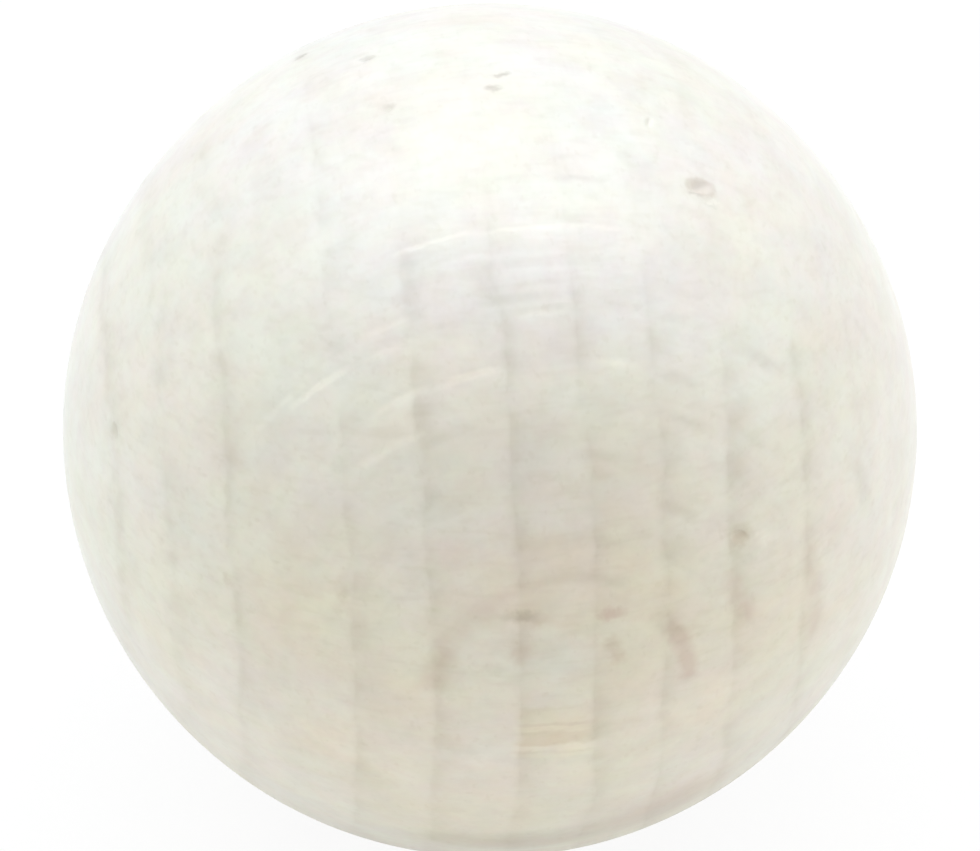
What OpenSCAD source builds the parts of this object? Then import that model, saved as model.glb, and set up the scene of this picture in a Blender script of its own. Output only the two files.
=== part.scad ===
// A plain wooden ball, turned in one piece from a block of pale, close-grained
// hardwood and left bare.
//
// The origin is the centre of the ball. The turning axis, which is also the
// way the grain runs, lies along Y, and Z is up. The ball is drawn upright, as
// it comes off a lathe with its axis along Z, and is laid over at the end.

/* [Ball] */
// Diameter of the ball
ball_d = 30; // [12:0.5:60]

/* [Turning marks] */
// How many fine rings stand close round each end of the axis
end_rings = 4; // [1:1:5]
// Distance over the surface from the end of the axis to its first ring
end_ring_start = 1.2; // [1:0.1:1.5]
// Distance over the surface from one of these rings to the next
end_ring_pitch = 1.1; // [0.6:0.05:1.2]
// How many wider rings follow them on each half
outer_rings = 7; // [1:1:8]
// Distance over the surface from the end of the axis to the first wider ring
outer_ring_start = 6.7; // [6.6:0.1:8]
// Distance over the surface from one wider ring to the next
outer_ring_pitch = 1.6; // [1:0.05:2]
// Width of a ring's groove
ring_w = 0.3; // [0.1:0.05:0.5]
// Depth of a ring's groove
ring_depth = 0.03; // [0.01:0.005:0.05]

/* [Dents] */
// Length of the large pit
pit_l = 1; // [0.8:0.05:1.6]
// Width of the large pit
pit_w = 0.7; // [0.3:0.05:0.75]
// Depth of the large pit
pit_depth = 0.12; // [0.05:0.01:0.3]
// Length of the chip beside the end rings
chip_l = 0.8; // [0.7:0.05:1.2]
// Width of the chip
chip_w = 0.5; // [0.2:0.05:0.65]
// Depth of the chip
chip_depth = 0.06; // [0.05:0.01:0.25]
// Length of a small nick
nick_l = 0.6; // [0.5:0.05:0.9]
// Width of a small nick
nick_w = 0.25; // [0.1:0.05:0.45]
// Depth of a small nick
nick_depth = 0.08; // [0.03:0.01:0.12]

/* [Hidden] */

$fn = 96;
ball_r = ball_d / 2;
wood_colour = [0.88, 0.85, 0.78];

// Each place is an angle from the end of the axis, an angle round the axis,
// and the slant of the dent on the surface.
pit_place = [70, 65, 10];
chip_place = [30, 37, 35];
nick_places = [[108, 114, 20], [97, 105, 0], [84, 104, 15], [87, 89, 0], [79, 71, 75], [71, 159, 70]];

// The radius of a round cutter that leaves a dent of this width and depth.
function cutter_r(width, depth) = (width * width / 4 + depth * depth) / (2 * depth);

// The angle that a distance over the surface spans at the ball's centre.
function surface_angle(distance) = distance / ball_r * 180 / PI;

// Cross-sections of the grooves of one set of rings, in the lathe's profile.
module ring_sections(count, start, pitch) {
    r = cutter_r(ring_w, ring_depth);
    for (i = [0 : count - 1])
        rotate(90 - surface_angle(start + i * pitch))
            translate([ball_r - ring_depth + r, 0])
                circle(r);
}

// Half of the ball's outline, from one end of the axis to the other.
module profile() {
    difference() {
        intersection() {
            circle(ball_r);
            translate([0, -ball_r])
                square([ball_r, ball_d]);
        }
        for (end = [0, 1])
            mirror([0, end]) {
                ring_sections(end_rings, end_ring_start, end_ring_pitch);
                ring_sections(outer_rings, outer_ring_start, outer_ring_pitch);
            }
    }
}

// A long, round-bottomed cutter, set into the surface at a place.
module dent(place, length, width, depth) {
    r = cutter_r(width, depth);
    run = length - width;
    rotate([0, 0, place[1]])
        rotate([0, place[0], 0])
            translate([0, 0, ball_r - depth + r])
                rotate([0, 0, place[2]])
                    union() {
                        rotate([90, 0, 0])
                            cylinder(r = r, h = run, center = true);
                        for (side = [-1, 1])
                            translate([0, side * run / 2, 0])
                                sphere(r);
                    }
}

module ball() {
    color(wood_colour)
        rotate([90, 0, 0])
            difference() {
                rotate_extrude()
                    profile();
                dent(pit_place, pit_l, pit_w, pit_depth);
                dent(chip_place, chip_l, chip_w, chip_depth);
                for (place = nick_places)
                    dent(place, nick_l, nick_w, nick_depth);
            }
}

ball();
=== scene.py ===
import math

import bmesh
import bpy
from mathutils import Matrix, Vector, noise


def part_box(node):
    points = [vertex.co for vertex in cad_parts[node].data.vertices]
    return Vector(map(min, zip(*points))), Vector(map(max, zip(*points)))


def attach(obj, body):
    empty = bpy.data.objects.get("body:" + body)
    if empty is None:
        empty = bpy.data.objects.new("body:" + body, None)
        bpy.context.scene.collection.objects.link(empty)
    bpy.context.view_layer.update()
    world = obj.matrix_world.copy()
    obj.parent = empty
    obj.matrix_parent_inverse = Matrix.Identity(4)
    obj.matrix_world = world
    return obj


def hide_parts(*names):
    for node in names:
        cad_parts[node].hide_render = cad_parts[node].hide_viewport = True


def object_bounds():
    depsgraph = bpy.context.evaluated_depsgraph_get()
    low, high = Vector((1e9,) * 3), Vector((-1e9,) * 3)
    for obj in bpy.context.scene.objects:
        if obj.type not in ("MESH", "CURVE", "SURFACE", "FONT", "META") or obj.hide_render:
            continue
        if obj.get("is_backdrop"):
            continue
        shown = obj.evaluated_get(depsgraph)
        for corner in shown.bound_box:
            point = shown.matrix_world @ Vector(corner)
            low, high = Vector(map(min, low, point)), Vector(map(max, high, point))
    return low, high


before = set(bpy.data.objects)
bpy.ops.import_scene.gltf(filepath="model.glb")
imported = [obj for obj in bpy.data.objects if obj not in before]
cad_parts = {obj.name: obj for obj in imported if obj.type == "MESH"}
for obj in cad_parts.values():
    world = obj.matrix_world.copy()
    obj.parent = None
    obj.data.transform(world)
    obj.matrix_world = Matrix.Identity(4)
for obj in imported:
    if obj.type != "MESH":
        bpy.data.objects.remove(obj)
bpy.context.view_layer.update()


# ---- Camera ---------------------------------------------------------------
# It looks down on the ball from its front left. The turning axis lies along
# Y, so the near end of the grain shows low in the view.

scene = bpy.context.scene
ball_low, ball_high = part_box("ball")
BALL_CENTRE = (ball_low + ball_high) / 2
BALL_R = (ball_high.x - ball_low.x) / 2

CAMERA_AZIMUTH = -8.9
CAMERA_ELEVATION = 36.3
CAMERA_DISTANCE = 8 * BALL_R
CAMERA_LENS = 124.5
CAMERA_SHIFT_Y = 0.0046


def direction(azimuth, elevation):
    """The way from the ball to something, with azimuth 0 in front of it and 90 on its right."""
    a = math.radians(azimuth)
    e = math.radians(elevation)
    return Vector((math.sin(a) * math.cos(e), -math.cos(a) * math.cos(e), math.sin(e)))


def aim_at_ball(thing, azimuth, elevation, distance):
    """Puts the camera or a lamp at this place round the ball, facing it."""
    back = direction(azimuth, elevation)
    thing.location = BALL_CENTRE + back * distance
    thing.rotation_euler = (-back).to_track_quat("-Z", "Y").to_euler()
    scene.collection.objects.link(thing)


camera = bpy.data.objects.new("camera", bpy.data.cameras.new("camera"))
camera.data.lens = CAMERA_LENS
camera.data.shift_y = CAMERA_SHIFT_Y
aim_at_ball(camera, CAMERA_AZIMUTH, CAMERA_ELEVATION, CAMERA_DISTANCE)
scene.camera = camera
scene.view_settings.view_transform = "Standard"


# ---- Floor ----------------------------------------------------------------
# A wide sheet of white paper under the ball. It looks white in the view and
# in reflections, and keeps a faint shadow where the ball stands on it.

FLOOR_SIZE = 36 * BALL_R
FLOOR_COLOUR = (0.82, 0.82, 0.82, 1)
FLOOR_WHITE_SEEN = 0.92
FLOOR_WHITE_REFLECTED = 0.45

floor_z = BALL_CENTRE.z - BALL_R
half = FLOOR_SIZE / 2
floor_mesh = bpy.data.meshes.new("floor")
floor_mesh.from_pydata(
    [(-half, -half, floor_z), (half, -half, floor_z), (half, half, floor_z), (-half, half, floor_z)],
    [],
    [(0, 1, 2, 3)],
)
floor = bpy.data.objects.new("floor", floor_mesh)
scene.collection.objects.link(floor)
floor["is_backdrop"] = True


def new_node(tree, kind, **settings):
    """A new shader node of this kind, with these settings."""
    node = tree.nodes.new("ShaderNode" + kind)
    for name, value in settings.items():
        setattr(node, name, value)
    return node


def feed(tree, node, socket, value):
    """Links a node's input to another node's output, or gives it a plain value."""
    if isinstance(value, bpy.types.NodeSocket):
        tree.links.new(value, node.inputs[socket])
    else:
        node.inputs[socket].default_value = value


def calc(tree, operation, *values):
    """The result of one step of arithmetic."""
    node = new_node(tree, "Math", operation=operation)
    for i, value in enumerate(values):
        feed(tree, node, i, value)
    return node.outputs[0]


def seen_or_reflected(tree, seen, reflected):
    """A share for the rays from the camera, another for reflected ones, and none for the rest."""
    path = new_node(tree, "LightPath")
    mirrored = calc(tree, "MAXIMUM", path.outputs["Is Glossy Ray"], path.outputs["Is Transmission Ray"])
    share = calc(tree, "MULTIPLY", mirrored, reflected)
    return calc(tree, "MAXIMUM", share, calc(tree, "MULTIPLY", path.outputs["Is Camera Ray"], seen))


paper = bpy.data.materials.new("white_paper")
paper.use_nodes = True
tree = paper.node_tree
tree.nodes.clear()
matt = new_node(tree, "BsdfDiffuse")
feed(tree, matt, "Color", FLOOR_COLOUR)
white = new_node(tree, "Emission")
feed(tree, white, "Color", (1, 1, 1, 1))
mixed = new_node(tree, "MixShader")
feed(tree, mixed, 0, seen_or_reflected(tree, FLOOR_WHITE_SEEN, FLOOR_WHITE_REFLECTED))
feed(tree, mixed, 1, matt.outputs[0])
feed(tree, mixed, 2, white.outputs[0])
feed(tree, new_node(tree, "OutputMaterial"), "Surface", mixed.outputs[0])
floor_mesh.materials.append(paper)


# ---- Light ----------------------------------------------------------------
# A plain white room. Two wide soft boxes hang above and behind the ball, a
# low and a high one stand on each side, and a low one stands in front. Three
# more light the paper, which throws the light back up.

ROOM_LIGHT = 0.2
LAMP_DISTANCE = 22 * BALL_R

room = bpy.data.worlds.new("white_room")
scene.world = room
room.use_nodes = True
tree = room.node_tree
tree.nodes.clear()
walls = new_node(tree, "Background")
level = seen_or_reflected(tree, 1 - ROOM_LIGHT, 1 - ROOM_LIGHT)
feed(tree, walls, "Strength", calc(tree, "ADD", level, ROOM_LIGHT))
feed(tree, walls, "Color", (1, 1, 1, 1))
feed(tree, new_node(tree, "OutputWorld"), "Surface", walls.outputs[0])


def soft_box(name, width, height, power, colour):
    """A soft box with its sides in ball radii, facing down until it is placed."""
    box = bpy.data.lights.new(name, "AREA")
    box.shape = "RECTANGLE"
    box.size = width * BALL_R
    box.size_y = height * BALL_R
    box.energy = power
    box.color = colour
    lamp = bpy.data.objects.new(name, box)
    lamp.visible_camera = False
    return lamp


# Each box's angles round the ball, its width and height in ball radii, its
# power and its colour.
BALL_BOXES = (
    ("lamp_top", 171, 80, 38, 16, 1.43, (0.92, 0.96, 1.0)),
    ("lamp_back", 171, 58, 41, 19, 0.60, (0.94, 0.98, 1.0)),
    ("lamp_left", -109, 25, 24, 20, 0.126, (0.70, 0.86, 1.0)),
    ("lamp_right", 91, 25, 24, 20, 0.02, (0.40, 0.70, 1.0)),
    ("lamp_left_high", -89, 45, 16, 16, 0.085, (0.1, 0.4, 1.0)),
    ("lamp_right_high", 71, 45, 16, 16, 0.12, (0.1, 0.5, 1.0)),
    ("lamp_front", -9, 5, 40, 5, 0.065, (0.90, 0.98, 1.0)),
)
for name, azimuth, elevation, width, height, power, colour in BALL_BOXES:
    aim_at_ball(soft_box(name, width, height, power, colour), azimuth, elevation, LAMP_DISTANCE)

# The same for the boxes over the paper, with their places in ball radii from
# the ball's centre.
PAPER_BOXES = (
    ("paper_lamp_left", -8, -4, 3, 7, 12, 0.103, (0.95, 1.0, 0.79)),
    ("paper_lamp_right", 7, -5.5, 3, 7, 12, 0.104, (1.0, 0.96, 0.75)),
    ("paper_lamp_front", -1.4, -8, 3, 16, 7, 0.045, (1.0, 0.65, 0.1)),
)
for name, x, y, z, width, height, power, colour in PAPER_BOXES:
    lamp = soft_box(name, width, height, power, colour)
    lamp.location = BALL_CENTRE + Vector((x, y, z)) * BALL_R
    scene.collection.objects.link(lamp)


# ---- Ball -----------------------------------------------------------------
# One piece of pale, close-grained hardwood such as beech, turned between
# centres with the grain along Y, sanded and left bare. Lengths in this
# section are in millimetres, and angles in degrees.

MM = 0.001
R_MM = BALL_R / MM

# The fine rings that the tool left round each end of the axis, by their
# distance over the surface from that end: four close ones, then seven more.
END_RING_PLACES = [1.2 + 1.1 * i for i in range(4)]
OUTER_RING_PLACES = [6.7 + 1.6 * i for i in range(7)]
RING_PLACES = END_RING_PLACES + OUTER_RING_PLACES
RING_DEPTH = 0.008
RING_WIDTH = 0.3
RING_WANDER = 0.06

# Marks that the tool left along parts of a ring, some pale and some darker:
# the distance from the near end, the angles round the axis where the mark
# starts and stops, its width, and what it looks like with how strongly.
# Angle 0 is on the right and 90 on top. The pale marks lie high up, and
# their paleness is partly scraped wood and partly a painted glint, the light
# from above caught on the rings' edges.
TOOL_MARKS = [
    (16.1, 97, 109, 0.15, "scraped_and_glint", 1.2),
    (16.0, 76, 97, 0.15, "scraped_and_glint", 0.7),
    (15.3, 96, 102, 0.20, "scraped_and_glint", 0.5),
    (13.9, 109, 117, 0.20, "scraped_and_glint", 0.7),
    (13.9, 86, 93, 0.20, "scraped_and_glint", 0.4),
    (13.6, 129, 141, 0.22, "scraped_and_glint", 0.7),
    (13.3, 121, 132, 0.19, "scraped_and_glint", 1.5),
    (13.2, 110, 119, 0.20, "scraped_and_glint", 0.5),
    (13.1, 85, 94, 0.17, "scraped_and_glint", 0.9),
    (11.6, 109, 122, 0.22, "scraped_and_glint", 0.7),
    (11.5, 97, 108, 0.22, "scraped_and_glint", 1.4),
    (11.5, 74, 82, 0.22, "scraped_and_glint", 0.8),
    (10.4, 113, 129, 0.24, "scraped_and_glint", 0.7),
    (18.7, 80, 87, 0.22, "darkened", 0.6),
    (17.9, 89, 95, 0.20, "darkened", 0.5),
    (17.8, 78, 86, 0.20, "darkened", 0.9),
    (17.1, 28, 37, 0.30, "darkened", 0.5),
    (16.3, 80, 88, 0.25, "darkened", 0.6),
    (14.7, 82, 98, 0.25, "darkened", 0.35),
    (13.7, 86, 97, 0.35, "darkened", 0.6),
    (13.1, 47, 56, 0.40, "darkened", 1.0),
    (13.0, 11, 24, 0.60, "darkened", 0.6),
    (11.4, 62, 70, 0.30, "darkened", 0.9),
    (11.1, 53, 57, 0.25, "darkened", 0.6),
    (10.2, 56, 67, 0.30, "darkened", 0.8),
    (10.0, 107, 114, 0.25, "darkened", 0.5),
    (9.6, -6, 20, 0.70, "burnt", 0.6),
    (8.6, 74, 85, 0.30, "darkened", 1.3),
    (8.1, 28, 40, 0.35, "darkened", 0.4),
    (7.5, 50, 63, 0.35, "darkened", 0.9),
    (6.7, 12, 32, 0.60, "burnt", 0.8),
    (5.9, 50, 57, 0.50, "darkened", 0.5),
    (5.9, 68, 106, 0.45, "darkened", 0.5),
    (4.7, 62, 98, 0.40, "darkened", 1.1),
    (4.6, 96, 118, 0.40, "burnt", 0.35),
    (4.4, 118, 152, 0.70, "burnt", 0.45),
    (4.3, 147, 172, 0.65, "burnt", 0.65),
    (4.3, 0, 36, 0.50, "burnt", 1.2),
    (4.2, 26, 46, 0.60, "darkened", 1.0),
]
# What each kind of mark does to the colour of the wood, and its depth.
MARK_KINDS = {
    "scraped_and_glint": ((1.10, 1.10, 1.10), 0.015),
    "darkened": ((0.91, 0.90, 0.89), 0.010),
    "burnt": ((0.89, 0.82, 0.82), 0.010),
}

# Dents: the angle from the near end, the angle round the axis, the slant,
# length, width and depth, and how far the deepest place leans to the near
# end (the far end if it is below 0).
DENTS = [
    (70, 65, 10, 1.0, 0.7, 0.12, 0.5),
    (30, 37, 35, 0.8, 0.5, 0.06, -0.5),
    (108, 114, 20, 0.6, 0.25, 0.08, 0),
    (97, 105, 0, 0.6, 0.25, 0.08, 0),
    (84, 104, 15, 0.6, 0.25, 0.08, 0),
    (87, 89, 0, 0.6, 0.25, 0.08, 0),
    (79, 71, 75, 0.6, 0.25, 0.08, 0),
    (71, 159, 70, 0.6, 0.25, 0.08, 0),
]


def surface_spot(angle_from_end, angle_round):
    """The way from the ball's centre to a spot on it."""
    t = math.radians(angle_from_end)
    p = math.radians(angle_round)
    return Vector((math.sin(t) * math.cos(p), -math.cos(t), math.sin(t) * math.sin(p)))


# The surface is laid out in rows round the axis, close together where the
# marks are, with more corners to a row as the rows widen.
FINE_ROW = 0.13
COARSE_ROW = 0.4
FINE_ROWS_END = 17.6
ROWS_ACROSS_A_RING = (-0.22, -0.11, 0, 0.11, 0.22)
ROOM_BESIDE_A_RING = 0.15
HALF_WAY = math.pi * R_MM


def row_places():
    """Distances of the rows from the near end, with extra rows across each ring of the far half."""
    places = []
    count = round(FINE_ROWS_END / FINE_ROW)
    for i in range(1, count + 1):
        places.append(FINE_ROWS_END * i / count)
    fine = []
    for ring in RING_PLACES:
        for step in ROWS_ACROSS_A_RING:
            fine.append(HALF_WAY - ring + step)
    count = round((HALF_WAY - FINE_ROWS_END) / COARSE_ROW)
    for i in range(1, count):
        place = FINE_ROWS_END + (HALF_WAY - FINE_ROWS_END) * i / count
        if min(abs(place - other) for other in fine) > ROOM_BESIDE_A_RING:
            places.append(place)
    return sorted(places + fine)


# How many corners a row has, up to each distance from its end of the axis.
ROW_CORNERS = ((0.8, 32), (1.7, 64), (3.6, 128))
MOST_CORNERS = 256


def corners_in_row(place):
    """How many corners a row has: it doubles as the row gets longer."""
    from_end = min(place, HALF_WAY - place)
    for limit, count in ROW_CORNERS:
        if from_end < limit:
            return count
    return MOST_CORNERS


def lay_rows(mesh):
    """Fills a bmesh with the ball's rows, joined into faces that look outwards."""
    rows = []
    for place in row_places():
        count = corners_in_row(place)
        t = math.degrees(place / R_MM)
        rows.append([mesh.verts.new(surface_spot(t, 360 * j / count)) for j in range(count)])
    near_end = mesh.verts.new((0, -1, 0))
    far_end = mesh.verts.new((0, 1, 0))
    for j in range(len(rows[0])):
        mesh.faces.new((near_end, rows[0][j], rows[0][j - 1]))
    for j in range(len(rows[-1])):
        mesh.faces.new((far_end, rows[-1][j - 1], rows[-1][j]))
    for near, far in zip(rows, rows[1:]):
        if len(near) == len(far):
            for j in range(len(near)):
                mesh.faces.new((near[j - 1], near[j], far[j], far[j - 1]))
        elif len(near) < len(far):
            for j in range(len(near)):
                k = 2 * j
                mesh.faces.new((near[j - 1], far[k - 1], far[k - 2]))
                mesh.faces.new((near[j - 1], near[j], far[k - 1]))
                mesh.faces.new((near[j], far[k], far[k - 1]))
        else:
            for j in range(len(far)):
                k = 2 * j
                mesh.faces.new((far[j - 1], near[k - 2], near[k - 1]))
                mesh.faces.new((far[j - 1], near[k - 1], far[j]))
                mesh.faces.new((far[j], near[k - 1], near[k]))


def smooth_step(low, high, value):
    """0 below low, 1 above high, and a smooth curve between."""
    t = min(1, max(0, (value - low) / (high - low)))
    return t * t * (3 - 2 * t)


def groove(offset, width):
    """The cross-section of a shallow groove, 1 at its middle."""
    return math.exp(-(2.2 * offset / width) ** 2)


def ring_relief(spot):
    """How deep the rings and tool marks are at a spot. Each is deeper in some places than others."""
    from_near = math.acos(max(-1, min(1, -spot.y))) * R_MM
    round_axis = math.degrees(math.atan2(spot.z, spot.x))
    wander = RING_WANDER * noise.noise(spot * 4)
    place = from_near + wander
    from_end = min(place, HALF_WAY - place)
    side = Vector((0, 9, 0)) if from_near > HALF_WAY / 2 else Vector((0, 0, 0))
    deep = 0
    for i, ring in enumerate(RING_PLACES):
        if abs(from_end - ring) < RING_WIDTH:
            patch = 0.5 + 1.3 * noise.noise(spot * 2.3 + side + Vector((i * 3.7, 0, 0)))
            deep += RING_DEPTH * max(0, patch) * groove(from_end - ring, RING_WIDTH)
    for i, (distance, start, stop, width, kind, _) in enumerate(TOOL_MARKS):
        if abs(place - distance) < width:
            middle = (start + stop) / 2
            off_middle = abs((round_axis - middle + 180) % 360 - 180)
            share = 1 - smooth_step((stop - start) / 2 - 4, (stop - start) / 2 + 4, off_middle)
            broken = 0.75 + 0.7 * noise.noise(spot * 9 + Vector((0, i * 5.1, 0)))
            deep += MARK_KINDS[kind][1] * share * max(0, broken) * groove(place - distance, width)
    return deep


# How ragged the dents' edges are. Each lip's height as a share of its dent's
# depth, its place and its width, where the dent's edge is at 1.
RAGGED_EDGE = 0.25
LIP_HEIGHT = 0.2
LIP_PLACE = 1.15
LIP_WIDTH = 0.18


def dent_relief(spot):
    """How deep the dents are at a spot, with the raised lip that each pushed up."""
    deep = 0
    for i, (from_end, round_axis, slant, length, width, depth, lean) in enumerate(DENTS):
        middle = surface_spot(from_end, round_axis)
        offset = spot - middle
        if offset.length * R_MM > length:
            continue
        t = math.radians(from_end)
        p = math.radians(round_axis)
        down = Vector((math.cos(t) * math.cos(p), math.sin(t), math.cos(t) * math.sin(p)))
        across = down.cross(middle)
        s = math.radians(slant)
        u = offset.dot(across) * R_MM
        v = offset.dot(down) * R_MM
        along = u * math.cos(s) + v * math.sin(s)
        over = v * math.cos(s) - u * math.sin(s)
        reach = math.hypot(along / (length / 2), over / (width / 2))
        reach += RAGGED_EDGE * noise.noise(offset * R_MM * 2.5 + Vector((i * 4.3, 0, 0)))
        if reach < 1:
            deep += depth * (1 - reach * reach) ** 1.2 * (1 - lean * over / (width / 2))
        lip = smooth_step(0, 0.5 * length, u)
        deep -= LIP_HEIGHT * depth * lip * math.exp(-((reach - LIP_PLACE) / LIP_WIDTH) ** 2)
    return deep


NEAR_A_DENT = 0.75
CUTS_AT_DENTS = 4


def refine_near_dents(mesh):
    """Cuts the faces at each dent into small ones."""
    for from_end, round_axis, _, length, _, _, _ in DENTS:
        middle = surface_spot(from_end, round_axis)
        edges = set()
        for face in mesh.faces:
            if (face.calc_center_median() - middle).length * R_MM < NEAR_A_DENT * length:
                edges.update(face.edges)
        bmesh.ops.subdivide_edges(mesh, edges=list(edges), cuts=CUTS_AT_DENTS, use_grid_fill=True)


SANDING_WAVE = 0.012

made = bmesh.new()
lay_rows(made)
refine_near_dents(made)
for vert in made.verts:
    spot = vert.co.normalized()
    wave = SANDING_WAVE * noise.noise(spot * 3 + Vector((5, 1, 2)))
    depth = ring_relief(spot) + dent_relief(spot) - wave
    vert.co = BALL_CENTRE + spot * (BALL_R - depth * MM)
ball_mesh = bpy.data.meshes.new("turned_ball")
made.to_mesh(ball_mesh)
made.free()
ball_mesh.shade_smooth()
ball = bpy.data.objects.new("turned_ball", ball_mesh)
scene.collection.objects.link(ball)

wood = bpy.data.materials.new("bare_wood")
wood.use_nodes = True
tree = wood.node_tree
finish = tree.nodes["Principled BSDF"]
ball_mesh.materials.append(wood)

BARE_WOOD = (0.695, 0.677, 0.622, 1)

spot_mm = new_node(tree, "VectorMath", operation="SCALE")
feed(tree, spot_mm, 0, new_node(tree, "TexCoord").outputs["Object"])
feed(tree, spot_mm, "Scale", 1 / MM)
spot_mm = spot_mm.outputs[0]


def stretched(tree, place, x, y, z):
    """The place, scaled by its own amount along each axis."""
    node = new_node(tree, "VectorMath", operation="MULTIPLY")
    feed(tree, node, 0, place)
    feed(tree, node, 1, (x, y, z))
    return node.outputs[0]


def mottle(tree, place, scale, detail=2.0, roughness=0.5, output="Fac"):
    """A soft noise from 0 to 1, with its average at about a half."""
    node = new_node(tree, "TexNoise")
    feed(tree, node, "Vector", place)
    feed(tree, node, "Scale", scale)
    feed(tree, node, "Detail", detail)
    feed(tree, node, "Roughness", roughness)
    return node.outputs[output]


def between(tree, value, low, high, start=0.0, end=1.0):
    """Start where the value is at low, end where it is at high, and a smooth step between."""
    node = new_node(tree, "MapRange", interpolation_type="SMOOTHSTEP")
    feed(tree, node, "Value", value)
    feed(tree, node, "From Min", low)
    feed(tree, node, "From Max", high)
    feed(tree, node, "To Min", start)
    feed(tree, node, "To Max", end)
    return node.outputs["Result"]


def tinted(tree, colour, mask, tint):
    """The colour, multiplied by a tint where the mask is 1."""
    node = new_node(tree, "Mix", data_type="RGBA", blend_type="MULTIPLY")
    feed(tree, node, 0, mask)
    feed(tree, node, 6, colour)
    feed(tree, node, 7, (*tint, 1) if isinstance(tint, tuple) else tint)
    return node.outputs[2]


def split_up(tree, value, kind="SeparateXYZ"):
    """The three parts of a place or a colour."""
    node = new_node(tree, kind)
    feed(tree, node, 0, value)
    return node.outputs[0], node.outputs[1], node.outputs[2]


# Growth rings: flat layers across X. Each starts pale and darkens from its
# right to its left edge, where it ends in a dark, broken line.
GROWTH_LINES = [
    (-13.35, 0.8), (-11.65, 0.6), (-9.6, 0.9), (-8.2, 0.15), (-6.0, 0.8), (-3.55, 0.9), (-0.8, 0.8),
    (1.6, 0.75), (3.9, 0.75), (6.25, 0.85), (8.85, 0.8), (11.0, 0.2), (12.7, 0.3),
]
LAYER_SPAN = 31
LINE_EDGE = 0.2
LINE_SHARPNESS = 5.0
BAND_SHARPNESS = 2.2
LINE_TINT = (0.945, 0.935, 0.92)
BAND_TINT = (0.943, 0.942, 0.935)

# The layers lie a little skew and bowed, and sway and shiver by this much.
LAYER_SKEW = -0.048
LAYER_BOW = 0.001
LAYER_SWAY = 0.5
LAYER_SHIVER = 0.3

x_mm, y_mm, z_mm = split_up(tree, spot_mm)
sway = calc(tree, "SUBTRACT", mottle(tree, spot_mm, 0.3, 0.0), 0.5)
shiver = calc(tree, "SUBTRACT", mottle(tree, spot_mm, 1.7, 1.0), 0.5)
across = calc(tree, "MULTIPLY_ADD", y_mm, LAYER_SKEW, x_mm)
across = calc(tree, "MULTIPLY_ADD", calc(tree, "MULTIPLY", z_mm, z_mm), LAYER_BOW, across)
across = calc(tree, "MULTIPLY_ADD", sway, LAYER_SWAY, across)
across = calc(tree, "MULTIPLY_ADD", shiver, LAYER_SHIVER, across)

layers = new_node(tree, "ValToRGB")
feed(tree, layers, "Fac", calc(tree, "DIVIDE", calc(tree, "ADD", across, LAYER_SPAN / 2), LAYER_SPAN))
stops = layers.color_ramp.elements
stops[0].position = 0
stops[0].color = (0.4, 0.6, 0, 1)
stops[1].position = 1
stops[1].color = (0, 0.4, 0, 1)
for place, strength in GROWTH_LINES:
    stop = stops.new((place + LAYER_SPAN / 2 - LINE_EDGE) / LAYER_SPAN)
    stop.color = (0, strength, 0, 1)
    stop = stops.new((place + LAYER_SPAN / 2 + LINE_EDGE) / LAYER_SPAN)
    stop.color = (1, strength, 0, 1)
nearness, line_strength, _ = split_up(tree, layers.outputs["Color"], "SeparateColor")

# Both the lines and the bands come and go in patches, the more so high up.
# They fade over the top, which is a painted highlight: the light from above
# washing them out.
high = between(tree, z_mm, 5.0, 10.0)
patches = mottle(tree, spot_mm, 0.5, 1.0)
steady = between(tree, patches, 0.35, 0.6, 0.7, 1.15)
patchy = between(tree, patches, 0.35, 0.62, 0.2, 1.7)
patches = calc(tree, "MULTIPLY_ADD", calc(tree, "SUBTRACT", patchy, steady), high, steady)
lean = calc(tree, "MULTIPLY_ADD", x_mm, 0.25, z_mm)
faded = calc(tree, "MULTIPLY", patches, between(tree, lean, 10.5, 13.8, 1.0, 0.25))
faded = calc(tree, "MULTIPLY", faded, line_strength)

# The dark lines are beaded along their length, and weaker high up and low down.
beads = mottle(tree, stretched(tree, spot_mm, 0.6, 1.2, 1.2), 1.0, 1.0)
beads = between(tree, beads, 0.35, 0.66, 0.1, 2.0)
beads = calc(tree, "MULTIPLY", beads, calc(tree, "MULTIPLY_ADD", high, -0.45, 1.0))
beads = calc(tree, "MULTIPLY", beads, between(tree, z_mm, -5.0, -1.5, 0.5, 1.0))

lines = calc(tree, "POWER", nearness, LINE_SHARPNESS)
lines = calc(tree, "MULTIPLY", lines, calc(tree, "MULTIPLY", faded, beads))
bands = calc(tree, "MULTIPLY", calc(tree, "POWER", nearness, BAND_SHARPNESS), faded)
colour = tinted(tree, BARE_WOOD, lines, LINE_TINT)
colour = tinted(tree, colour, bands, BAND_TINT)

# Soft clouds, large and small, some darker, some warmer and some pinker: how
# close and how fine they are, and how far each kind turns the colour down.
CLOUDS = (
    (0.16, 1.0, 0.966, 0.960, 0.974),
    (0.75, 3.0, 0.953, 0.960, 0.958),
)
for scale, detail, dark, warm, pink in CLOUDS:
    clouds = mottle(tree, stretched(tree, spot_mm, 1, 1, 1.3), scale, detail, 0.65, "Color")
    parts = split_up(tree, clouds, "SeparateColor")
    masks = [between(tree, part, 0.35, 0.65) for part in parts]
    colour = tinted(tree, colour, masks[0], (dark, dark, dark))
    colour = tinted(tree, colour, masks[1], (1.0, 0.995, warm))
    colour = tinted(tree, colour, masks[2], (1.0, pink, (1 + pink) / 2))

# Rays: thin bands across the layers, which show as short darker flecks.
RAY_TINT = (0.965, 0.96, 0.95)
rays = mottle(tree, stretched(tree, spot_mm, 0.8, 2.0, 4.0), 1.0, 1.0, 0.5)
ray_flecks = calc(
    tree, "MULTIPLY", between(tree, rays, 0.5, 0.75), between(tree, z_mm, -4.0, 2.0, 0.4, 1.0))
colour = tinted(tree, colour, ray_flecks, RAY_TINT)

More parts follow.
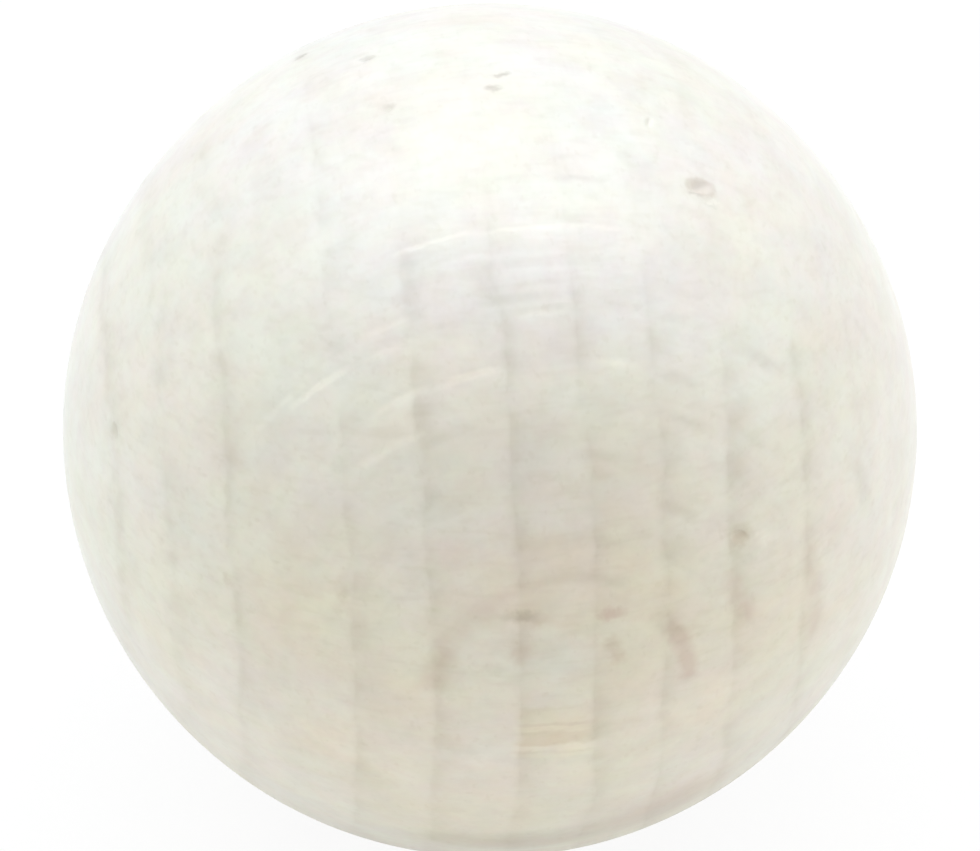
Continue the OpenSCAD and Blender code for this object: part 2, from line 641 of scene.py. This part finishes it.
# Faint rings that the lathe and the sandpaper left all over, in short arcs.
FAINT_RINGS_PER_MM = 2.2
FAINT_RING_TINT = (0.98, 0.978, 0.975)
from_middle = new_node(tree, "VectorMath", operation="LENGTH")
feed(tree, from_middle, 0, spot_mm)
from_near = calc(tree, "DIVIDE", calc(tree, "MULTIPLY", y_mm, -1.0), from_middle.outputs["Value"])
from_near = calc(tree, "MULTIPLY", calc(tree, "ARCCOSINE", from_near), R_MM)
round_axis = calc(tree, "MULTIPLY", calc(tree, "ARCTAN2", z_mm, x_mm), 180 / math.pi)
ring_place = new_node(tree, "CombineXYZ")
feed(tree, ring_place, "Y", calc(tree, "MULTIPLY", from_near, FAINT_RINGS_PER_MM))
arcs = new_node(tree, "VectorMath", operation="MULTIPLY_ADD")
feed(tree, arcs, 0, spot_mm)
feed(tree, arcs, 1, (0.7, 0.7, 0.7))
feed(tree, arcs, 2, ring_place.outputs[0])
turning = mottle(tree, arcs.outputs[0], 1.0, 1.0, 0.5)
turning_share = between(tree, calc(tree, "ABSOLUTE", x_mm), 5.0, 11.0, 1.0, 0.3)
turning_share = calc(tree, "MULTIPLY", turning_share, between(tree, z_mm, -2.0, 4.0, 0.2, 1.0))
turning = calc(tree, "MULTIPLY", calc(tree, "SUBTRACT", turning, 0.5), turning_share)
colour = tinted(tree, colour, between(tree, turning, 0.0, -0.2), FAINT_RING_TINT)

# Fibres along Y, and the finest unevenness of a sanded surface.
FIBRE_TINT = (0.988, 0.986, 0.983)
PORE_TINT = (0.97, 0.965, 0.955)
fibres = mottle(tree, stretched(tree, spot_mm, 5, 0.9, 5), 1.0, 2.0, 0.5)
colour = tinted(tree, colour, between(tree, fibres, 0.45, 0.75), FIBRE_TINT)
pores = between(tree, mottle(tree, stretched(tree, spot_mm, 3.5, 2.5, 3.5), 1.0, 1.0), 0.62, 0.74)
colour = tinted(tree, colour, pores, PORE_TINT)


def new_group(name, inputs, output):
    """A node group with these inputs and one number output, and its two end nodes."""
    group = bpy.data.node_groups.new(name, "ShaderNodeTree")
    for label, kind in inputs.items():
        group.interface.new_socket(label, in_out="INPUT", socket_type="NodeSocket" + kind)
    group.interface.new_socket(output, in_out="OUTPUT", socket_type="NodeSocketFloat")
    return group, group.nodes.new("NodeGroupInput").outputs, group.nodes.new("NodeGroupOutput")


def place_group(tree, group, **values):
    """One use of a group, with these inputs, and its output."""
    node = new_node(tree, "Group", node_tree=group)
    for label, value in values.items():
        feed(tree, node, label.replace("_", " "), value)
    return node.outputs[0]


# A mark along part of a ring: 1 along its middle, fading across and at its ends.
tool_mark, known, result = new_group("tool_mark", dict.fromkeys(
    ["From end", "Round axis", "Place", "Width", "Middle", "Half length"], "Float"), "Mark")
off_line = calc(tool_mark, "ABSOLUTE", calc(tool_mark, "SUBTRACT", known["From end"], known["Place"]))
over = between(tool_mark, off_line, 0.0, known["Width"], 1.0, 0.0)
turn = calc(tool_mark, "SUBTRACT", known["Round axis"], known["Middle"])
past_end = calc(tool_mark, "SUBTRACT", calc(tool_mark, "ABSOLUTE", turn), known["Half length"])
along = between(tool_mark, past_end, -4.0, 2.0, 1.0, 0.0)
feed(tool_mark, result, 0, calc(tool_mark, "MULTIPLY", over, along))

broken = between(tree, mottle(tree, spot_mm, 1.8, 1.0), 0.35, 0.6, 0.8, 1.15)
shaken = calc(tree, "MULTIPLY_ADD", shiver, 0.2, from_near)
for kind, (tint, _) in MARK_KINDS.items():
    total = 0.0
    for distance, start, stop, width, own_kind, strength in TOOL_MARKS:
        if own_kind == kind:
            mark = place_group(
                tree, tool_mark, From_end=shaken, Round_axis=round_axis, Place=distance, Width=width,
                Middle=(start + stop) / 2, Half_length=(stop - start) / 2)
            total = calc(tree, "MULTIPLY_ADD", mark, strength, total)
    colour = tinted(tree, colour, calc(tree, "MULTIPLY", total, broken), tint)

# The lathe's drive left a small ladder of flat steps at the near end. Each
# stop is a height in millimetres and what the wood's colour is multiplied by.
LADDER = [
    (-2.9, (1.00, 1.00, 1.00)), (-2.6, (0.97, 0.97, 0.975)), (-2.4, (0.98, 0.98, 0.98)),
    (-2.3, (1.03, 1.03, 1.00)), (-2.2, (1.03, 1.03, 1.00)), (-2.1, (0.98, 0.96, 0.92)),
    (-1.98, (1.07, 1.06, 1.03)), (-1.82, (1.07, 1.06, 1.03)), (-1.68, (0.94, 0.875, 0.80)),
    (-1.5, (0.94, 0.875, 0.80)), (-1.2, (0.97, 0.935, 0.87)), (-1.1, (1.03, 1.01, 0.95)),
    (-0.92, (1.03, 1.01, 0.95)), (-0.84, (0.955, 0.92, 0.87)), (-0.77, (0.955, 0.92, 0.87)),
    (-0.68, (1.01, 1.00, 0.95)), (-0.25, (0.985, 0.97, 0.93)), (-0.1, (0.965, 0.96, 0.93)),
    (0.0, (1.00, 1.00, 1.00)),
]
LADDER_TOP = 0.1
LADDER_HEIGHT = 3.1
LADDER_TINT = 1.25
LADDER_SLOPE = 0.06
LADDER_SHIVER = 0.35
ladder = new_node(tree, "ValToRGB")
height_share = calc(tree, "MULTIPLY_ADD", x_mm, LADDER_SLOPE, z_mm)
height_share = calc(tree, "MULTIPLY_ADD", shiver, LADDER_SHIVER, height_share)
height_share = calc(tree, "ADD", height_share, LADDER_HEIGHT - LADDER_TOP)
height_share = calc(tree, "DIVIDE", height_share, LADDER_HEIGHT)
feed(tree, ladder, "Fac", height_share)
stops = ladder.color_ramp.elements
stops[0].position = 0
stops[1].position = 1
for stop in (stops[0], stops[1]):
    stop.color = (1 / LADDER_TINT, 1 / LADDER_TINT, 1 / LADDER_TINT, 1)
for place, tint in LADDER:
    stop = stops.new((place + LADDER_HEIGHT - LADDER_TOP) / LADDER_HEIGHT)
    stop.color = (*[share / LADDER_TINT for share in tint], 1)
rungs = new_node(tree, "Mix", data_type="RGBA", blend_type="MULTIPLY")
feed(tree, rungs, 0, 1.0)
feed(tree, rungs, 6, ladder.outputs["Color"])
feed(tree, rungs, 7, (LADDER_TINT, LADDER_TINT, LADDER_TINT, 1))
on_ladder = calc(tree, "MULTIPLY", between(tree, across, -1.1, -0.4), between(tree, x_mm, 1.5, 0.5))
worn = between(tree, mottle(tree, spot_mm, 1.1, 1.0), 0.3, 0.55, 0.45, 1.0)
on_ladder = calc(tree, "MULTIPLY", on_ladder, worn)
on_ladder = calc(tree, "MULTIPLY", on_ladder, between(tree, from_near, 3.5, 3.0))
colour = tinted(tree, colour, on_ladder, rungs.outputs[2])

# Small stains, what is worn or pressed into the wood, and a few spots and
# patches of painted light and shade, each told below where it stands.
TINTS_AND_PAINTED_LIGHT = {
    "dark_and_shade": (0.76, 0.74, 0.73),
    "rust": (0.88, 0.78, 0.79),
    "brown": (0.88, 0.83, 0.80),
    "grey_and_shade": (0.93, 0.93, 0.92),
    "rosy": (1.00, 0.97, 0.975),
    "straw": (1.00, 0.99, 0.95),
    "cool_and_highlight": (0.99, 1.00, 1.02),
    "dull_and_shade": (0.955, 0.962, 0.955),
    "ruddy": (1.01, 0.985, 0.93),
    "pale_and_highlight": (1.06, 1.06, 1.06),
}
# Each one's tint and strength, its distance from the near end, its angle
# round the axis, and its half-lengths across the layers and along them.
MARKED_SPOTS = [
    # The dent: brown is its stain; the near-black spot is painted shade in its near wall, the pale
    # streak a painted glint on its raised lip, and the grey line just below the lip a painted shadow.
    ("brown", 0.7, 18.2, 65, 0.60, 0.42),
    ("brown", 1.3, 18.4, 64, 0.42, 0.30),
    ("dark_and_shade", 1.0, 18.0, 65.3, 0.40, 0.15),
    ("pale_and_highlight", 2.4, 17.9, 62.5, 0.36, 0.12),
    ("grey_and_shade", 0.9, 17.7, 62.8, 0.35, 0.10),
    # The chip: brown is its stain, and the pale streak is a painted glint on its edge.
    ("brown", 0.9, 8.0, 37, 0.50, 0.30),
    ("brown", 0.8, 7.7, 36.5, 0.35, 0.20),
    ("pale_and_highlight", 2.4, 8.4, 31, 0.40, 0.26),
    ("grey_and_shade", 0.8, 7.7, 30, 0.30, 0.25),
    ("dark_and_shade", 1.0, 28.3, 114, 0.30, 0.30),
    ("dark_and_shade", 0.9, 25.4, 105, 0.25, 0.25),
    ("grey_and_shade", 1.6, 22.0, 104, 0.25, 0.25),
    ("dark_and_shade", 1.3, 22.7, 89, 0.30, 0.17),
    ("dark_and_shade", 1.0, 22.0, 90.5, 0.26, 0.20),
    ("grey_and_shade", 0.6, 23.3, 77, 0.20, 0.20),
    ("straw", 1.0, 20.7, 71, 0.80, 1.20),
    ("dark_and_shade", 0.9, 3.7, 110, 0.60, 0.20),
    ("brown", 0.3, 3.6, 104, 0.90, 0.40),
    ("brown", 0.6, 3.3, 102, 0.35, 0.20),
    ("rust", 1.0, 3.6, 64, 0.45, 0.22),
    ("brown", 1.0, 2.5, 122, 0.40, 0.45),
    ("grey_and_shade", 0.8, 2.6, 143, 0.40, 0.20),
    ("brown", 0.9, 2.7, 53, 0.30, 0.30),
    ("brown", 0.8, 2.4, 42, 0.25, 0.30),
    ("grey_and_shade", 1.2, 1.8, -47, 0.35, 0.40),
    ("rosy", 1.0, 3.7, -160, 0.45, 0.50),
    ("grey_and_shade", 0.8, 3.6, -20, 0.28, 0.35),
    ("pale_and_highlight", 0.5, 3.7, -137, 0.60, 0.30),
    ("pale_and_highlight", 0.6, 4.9, -36, 0.25, 0.15),
    ("pale_and_highlight", 0.5, 3.5, -90, 0.80, 0.70),
    # These two wide pale patches low down are partly pale wood and partly painted light, the paper's
    # light thrown up onto the lower sides.
    ("pale_and_highlight", 0.7, 7.0, -157, 2.40, 1.30),
    ("pale_and_highlight", 0.6, 5.5, -14, 2.20, 1.30),
    ("straw", 1.0, 5.7, 90, 1.00, 0.50),
    ("rosy", 1.0, 6.7, 120, 0.50, 0.60),
    ("rosy", 1.0, 4.0, 104, 0.50, 0.30),
    ("cool_and_highlight", 1.0, 1.9, 90, 0.90, 0.90),
    ("grey_and_shade", 0.6, 6.6, 42, 0.30, 0.15),
    ("grey_and_shade", 1.3, 14.3, 108, 0.35, 0.80),
    ("grey_and_shade", 0.8, 15.6, 107, 0.35, 0.30),
    ("grey_and_shade", 0.6, 13.5, 110, 0.30, 0.20),
    ("grey_and_shade", 0.8, 11.0, 113, 0.40, 0.35),
    ("grey_and_shade", 1.2, 14.5, 97, 0.35, 0.70),
    ("grey_and_shade", 0.5, 13.7, 96, 0.60, 0.20),
    ("grey_and_shade", 0.6, 11.9, 97, 0.45, 0.15),
    ("grey_and_shade", 1.0, 13.6, 84, 0.30, 0.22),
    ("grey_and_shade", 0.5, 11.9, 83, 0.35, 0.20),
    ("grey_and_shade", 0.9, 14.1, 121, 0.35, 0.35),
    ("grey_and_shade", 0.9, 10.9, 131, 0.35, 0.30),
    ("grey_and_shade", 0.9, 16.4, 138, 0.25, 0.35),
    ("grey_and_shade", 0.6, 13.7, 146, 0.30, 0.30),
    ("grey_and_shade", 0.6, 12.2, 156, 0.30, 0.30),
    ("brown", 0.8, 11.7, 164, 0.25, 0.25),
    ("grey_and_shade", 0.8, 8.1, 149, 0.35, 0.40),
    ("grey_and_shade", 0.6, 14.1, 168, 0.25, 0.40),
    ("grey_and_shade", 0.6, 13.9, 177, 0.25, 0.50),
    ("grey_and_shade", 0.8, 17.8, 168, 0.22, 0.35),
    ("brown", 0.6, 8.0, 151, 0.22, 0.25),
    ("grey_and_shade", 1.0, 18.6, 159, 0.25, 0.40),
    ("grey_and_shade", 0.7, 19.8, 158, 0.25, 0.35),
    ("grey_and_shade", 1.0, 19.3, 143, 0.30, 0.35),
    ("grey_and_shade", 0.8, 21.6, 129, 0.30, 0.40),
    ("grey_and_shade", 0.7, 20.0, 130, 0.30, 0.40),
    ("grey_and_shade", 0.7, 14.4, 42, 0.30, 0.30),
    ("grey_and_shade", 0.5, 10.7, 34, 0.30, 0.20),
    ("grey_and_shade", 0.5, 16.0, 20, 0.30, 0.35),
    ("grey_and_shade", 0.5, 9.4, 47, 0.50, 0.40),
    ("pale_and_highlight", 0.6, 12.2, 102, 0.80, 0.60),
    ("pale_and_highlight", 0.5, 12.3, 78, 0.50, 0.70),
    ("rosy", 0.8, 9.7, 166, 1.20, 1.50),
    ("rosy", 0.8, 11.3, 17, 1.20, 1.50),
    # The dull patches are duller wood in soft clouds, and partly painted shade that evens out the
    # light. The first and widest, across the front below the top, is painted shade: the dimmer belt
    # between the light from above and the light thrown up from the paper.
    ("dull_and_shade", 0.9, 8.3, 85, 8.00, 3.20),
    ("dull_and_shade", 1.4, 14.6, 136, 2.40, 2.40),
    ("dull_and_shade", 1.0, 12.0, 52, 3.60, 2.00),
    ("dull_and_shade", 1.2, 20.2, 82, 1.70, 1.70),
    ("dull_and_shade", 0.8, 18.0, 73, 1.60, 1.20),
    ("dull_and_shade", 0.7, 10.5, 40, 1.60, 2.60),
    ("dull_and_shade", 0.8, 9.3, 60, 2.00, 1.50),
    ("dull_and_shade", 0.8, 14.6, 47, 1.60, 2.00),
    ("dull_and_shade", 0.7, 16.2, 130, 2.00, 1.60),
    # This wide pale patch low on the left is partly pale wood and partly painted light thrown up from
    # the paper.
    ("pale_and_highlight", 1.2, 7.6, -168, 2.40, 1.40),
    ("dull_and_shade", 0.8, 10.2, 70, 1.60, 1.20),
    ("dull_and_shade", 0.6, 9.0, 112, 1.60, 1.40),
    # These three wide pale patches low down are likewise partly pale wood and partly painted light
    # thrown up from the paper.
    ("pale_and_highlight", 0.7, 3.4, -15, 1.60, 1.20),
    ("pale_and_highlight", 0.6, 12.8, -174, 1.50, 1.50),
    ("pale_and_highlight", 0.6, 5.8, -146, 1.40, 1.00),
    ("brown", 0.9, 8.5, -58, 3.20, 1.40),
    ("brown", 0.9, 8.6, -103, 3.20, 1.00),
    ("ruddy", 1.0, 3.2, 42, 2.20, 1.80),
    ("ruddy", 0.8, 7.6, -160, 3.60, 1.80),
    ("ruddy", 0.7, 9.5, 166, 4.50, 2.80),
    ("ruddy", 0.7, 14.8, 178, 2.50, 3.50),
    ("ruddy", 1.2, 4.2, 85, 4.50, 1.80),
    ("ruddy", 0.8, 4.6, 168, 1.80, 2.20),
    ("ruddy", 0.8, 6.5, -2, 4.50, 3.20),
    ("ruddy", 0.6, 6.0, -110, 7.00, 2.20),
    # These two wide patches, paler and cooler over the middle of the upper front, are a painted
    # highlight: the lower edge of the soft boxes' gloss.
    ("pale_and_highlight", 0.6, 15.9, 93, 4.50, 1.70),
    ("cool_and_highlight", 1.4, 14.6, 90, 5.00, 3.00),
    # This wide grey band low on the front is painted shade, the dimmer light near where the ball stands
    # on the paper.
    ("grey_and_shade", 2.0, 8.3, -91, 6.50, 1.00),
]

soft_spot, known, result = new_group(
    "soft_spot", {"Place": "Vector", "Middle": "Vector", "Stretch": "Vector"}, "Spot")
off = new_node(soft_spot, "VectorMath", operation="SUBTRACT")
feed(soft_spot, off, 0, known["Place"])
feed(soft_spot, off, 1, known["Middle"])
share = new_node(soft_spot, "VectorMath", operation="MULTIPLY")
feed(soft_spot, share, 0, off.outputs[0])
feed(soft_spot, share, 1, known["Stretch"])
reach = new_node(soft_spot, "VectorMath", operation="LENGTH")
feed(soft_spot, reach, 0, share.outputs[0])
feed(soft_spot, result, 0, between(soft_spot, reach.outputs["Value"], 0.1, 1.5, 1.0, 0.0))

# The spots' outlines wander by up to half of this.
SPOT_WANDER = 0.5
ragged = new_node(tree, "VectorMath", operation="MULTIPLY_ADD")
feed(tree, ragged, 0, mottle(tree, spot_mm, 2.4, 2.0, 0.6, "Color"))
feed(tree, ragged, 1, (SPOT_WANDER, SPOT_WANDER, SPOT_WANDER))
feed(tree, ragged, 2, spot_mm)
for spot_look, tint in TINTS_AND_PAINTED_LIGHT.items():
    total = 0.0
    for own_spot_look, strength, distance, angle, wide, tall in MARKED_SPOTS:
        if own_spot_look == spot_look:
            middle = surface_spot(math.degrees(distance / R_MM), angle) * R_MM
            middle += Vector((SPOT_WANDER, SPOT_WANDER, SPOT_WANDER)) / 2
            mark = place_group(
                tree, soft_spot, Place=ragged.outputs[0], Middle=middle,
                Stretch=(1 / wide, 1 / tall, 1 / tall))
            total = calc(tree, "MULTIPLY_ADD", mark, strength, total)
    colour = tinted(tree, colour, total, tint)
feed(tree, finish, "Base Color", colour)

# Bare sanded wood has a dull gloss, which the rays lift.
SANDED_ROUGHNESS = 0.42
RAY_SHINE = 0.04
WOOD_IOR = 1.47
WOOD_SHEEN = 0.15
SHEEN_ROUGHNESS = 0.4
feed(tree, finish, "Roughness", calc(tree, "MULTIPLY_ADD", ray_flecks, -RAY_SHINE, SANDED_ROUGHNESS))
finish.inputs["IOR"].default_value = WOOD_IOR
finish.inputs["Sheen Weight"].default_value = WOOD_SHEEN
finish.inputs["Sheen Roughness"].default_value = SHEEN_ROUGHNESS

# The relief that the light catches, too fine for the mesh.
FAINT_RING_RELIEF = 0.007
RAY_RELIEF = 0.003
FIBRE_RELIEF = 0.0015
height = calc(tree, "MULTIPLY", turning, FAINT_RING_RELIEF)
ray_height = calc(tree, "MULTIPLY", rays, between(tree, z_mm, -4.0, 2.0, 0.3, 1.0))
height = calc(tree, "MULTIPLY_ADD", ray_height, RAY_RELIEF, height)
height = calc(tree, "MULTIPLY_ADD", fibres, FIBRE_RELIEF, height)
bump = new_node(tree, "Bump")
feed(tree, bump, "Height", height)
feed(tree, bump, "Distance", MM)
feed(tree, finish, "Normal", bump.outputs[0])

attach(ball, "root")
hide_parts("ball")


# ---- Bounds ---------------------------------------------------------------
# The finished ball's box is measured.

low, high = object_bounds()
